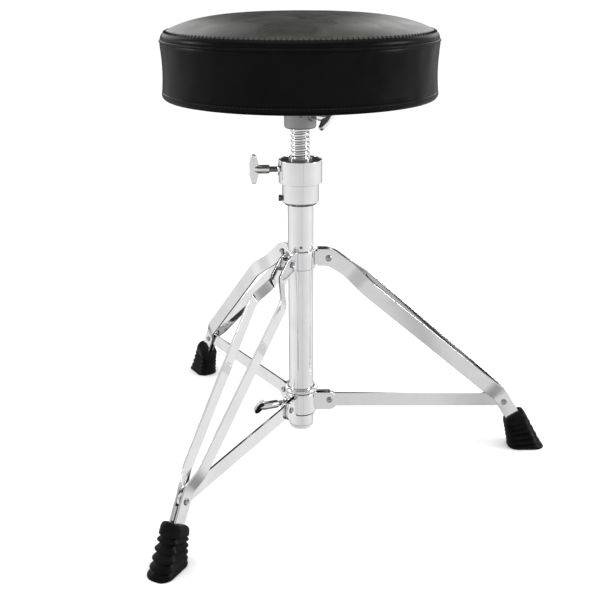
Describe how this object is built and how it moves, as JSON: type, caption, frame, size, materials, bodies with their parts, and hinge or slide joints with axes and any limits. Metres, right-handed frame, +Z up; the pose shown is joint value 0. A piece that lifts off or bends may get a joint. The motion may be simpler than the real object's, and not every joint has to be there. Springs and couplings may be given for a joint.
{
  "type": "drum throne",
  "caption": "Round padded drummer's seat on a threaded height spindle, over a folding chromed stand with double-bar braced legs, wing bolts and ribbed rubber feet.",
  "frame": {"origin": "on the floor, at the centre of the rectangle that the feet cover; the post stands on the line x = -0.0734 m, y = 0", "axes": "+Z up through the seat, +X along the leg called right, +Y to the left of that leg"},
  "size_m": [0.4741, 0.543, 0.5325],
  "materials": {
    "chrome": "bright chrome plate",
    "rivet_steel": "plated, dished heads",
    "zinc_steel": "zinc plated",
    "dark_steel": "blackened",
    "receiver_steel": "satin grey",
    "black_rubber": "moulded, satin",
    "grey_plastic": "moulded",
    "black_plastic": "moulded",
    "plywood": "unfinished plywood",
    "seat_foam": "open cell foam",
    "top_vinyl": "satin vinyl with a fine grain",
    "side_vinyl": "glossy vinyl",
    "dust_cloth": "woven dust cover"
  },
  "bodies": {
    "post": {"outer_tube": "chrome", "tube_end_plug": "grey_plastic", "leg_hub": "chrome", "hub_rivet_right": "rivet_steel", "hub_rivet_front": "rivet_steel", "hub_rivet_back": "rivet_steel", "tube_collar": "chrome", "collar_set_screw": "dark_steel", "nut_housing": "chrome", "spindle_nut": "chrome"},
    "height_wing_bolt": {"height_wing_bolt": "chrome"},
    "spindle_guide": {"guide_bush": "black_plastic"},
    "spindle": {"threaded_spindle": "chrome"},
    "seat": {"seat_receiver": "receiver_steel", "receiver_bolt_1": "zinc_steel", "receiver_bolt_2": "zinc_steel", "receiver_bolt_3": "zinc_steel", "receiver_bolt_4": "zinc_steel", "tee_nut_1": "zinc_steel", "tee_nut_2": "zinc_steel", "tee_nut_3": "zinc_steel", "tee_nut_4": "zinc_steel", "seat_board": "plywood", "seat_foam": "seat_foam", "seat_top_cover": "top_vinyl", "seat_side_band": "side_vinyl", "seat_piping": "side_vinyl", "seat_bottom_cloth": "dust_cloth"},
    "seat_wing_bolt": {"seat_wing_bolt": "chrome"},
    "collar": {"sliding_collar": "chrome", "collar_rivet_right": "rivet_steel", "collar_rivet_front": "rivet_steel", "collar_rivet_back": "rivet_steel"},
    "collar_wing_bolt": {"collar_wing_bolt": "chrome"},
    "brace_right": {"brace_right": "chrome"},
    "brace_front": {"brace_front": "chrome"},
    "brace_back": {"brace_back": "chrome"},
    "leg_right": {"leg_right_bar_left": "chrome", "leg_right_bar_right": "chrome", "foot_rivet_right_left": "rivet_steel", "foot_rivet_right_right": "rivet_steel", "rubber_foot_right": "black_rubber"},
    "leg_front": {"leg_front_bar_left": "chrome", "leg_front_bar_right": "chrome", "foot_rivet_front_left": "rivet_steel", "foot_rivet_front_right": "rivet_steel", "rubber_foot_front": "black_rubber"},
    "leg_back": {"leg_back_bar_left": "chrome", "leg_back_bar_right": "chrome", "foot_rivet_back_left": "rivet_steel", "foot_rivet_back_right": "rivet_steel", "rubber_foot_back": "black_rubber"}
  },
  "joints": [
    {"name": "seat_height", "type": "slide", "parent": "post", "child": "spindle_guide", "axis": [0, 0, 1], "range_m": [0, 0.085]},
    {"name": "spindle_turn", "type": "hinge", "parent": "spindle_guide", "child": "spindle", "pos_m": [-0.07342, 0, 0.4], "axis": [0, 0, 1], "range_deg": [0, 5465.3]},
    {"name": "seat_lift", "type": "slide", "parent": "spindle", "child": "seat", "axis": [0, 0, 1], "range_m": [0, 0.045]},
    {"name": "height_wing_bolt_turn", "type": "hinge", "parent": "post", "child": "height_wing_bolt", "pos_m": [-0.12692, 0, 0.3618], "axis": [-1, 0, 0], "range_deg": [0, 360]},
    {"name": "seat_wing_bolt_turn", "type": "hinge", "parent": "seat", "child": "seat_wing_bolt", "pos_m": [-0.04355, -0.03093, 0.4245], "axis": [0.6947, -0.7193, 0], "range_deg": [0, 360]},
    {"name": "collar_slide", "type": "slide", "parent": "post", "child": "collar", "axis": [0, 0, 1], "range_m": [0, 0.11184]},
    {"name": "collar_wing_bolt_turn", "type": "hinge", "parent": "collar", "child": "collar_wing_bolt", "pos_m": [-0.12557, -0.01898, 0.069], "axis": [-0.9397, -0.342, 0], "range_deg": [0, 360]},
    {"name": "leg_right_fold", "type": "hinge", "parent": "post", "child": "leg_right", "pos_m": [-0.04072, 0, 0.256], "axis": [0, 1, 0], "range_deg": [0, 44.19]},
    {"name": "leg_front_fold", "type": "hinge", "parent": "post", "child": "leg_front", "pos_m": [-0.08977, -0.02832, 0.256], "axis": [0.866, -0.5, 0], "range_deg": [0, 44.19]},
    {"name": "leg_back_fold", "type": "hinge", "parent": "post", "child": "leg_back", "pos_m": [-0.08977, 0.02832, 0.256], "axis": [-0.866, -0.5, 0], "range_deg": [0, 44.19]},
    {"name": "brace_right_fold", "type": "hinge", "parent": "collar", "child": "brace_right", "pos_m": [-0.03842, 0, 0.0702], "axis": [0, 1, 0], "range_deg": [0, 82.2]},
    {"name": "brace_front_fold", "type": "hinge", "parent": "collar", "child": "brace_front", "pos_m": [-0.09092, -0.03031, 0.0702], "axis": [0.866, -0.5, 0], "range_deg": [0, 82.2]},
    {"name": "brace_back_fold", "type": "hinge", "parent": "collar", "child": "brace_back", "pos_m": [-0.09092, 0.03031, 0.0702], "axis": [-0.866, -0.5, 0], "range_deg": [0, 82.2]}
  ],
  "couplings": [
    {"joint": "spindle_turn", "follows": "seat_height", "rad_per_m": 1122},
    {"joint": "leg_right_fold", "follows": "collar_slide", "rad_per_m": 6.8935},
    {"joint": "leg_front_fold", "follows": "collar_slide", "rad_per_m": 6.8935},
    {"joint": "leg_back_fold", "follows": "collar_slide", "rad_per_m": 6.8935},
    {"joint": "brace_right_fold", "follows": "collar_slide", "rad_per_m": 12.825},
    {"joint": "brace_front_fold", "follows": "collar_slide", "rad_per_m": 12.825},
    {"joint": "brace_back_fold", "follows": "collar_slide", "rad_per_m": 12.825}
  ]
}
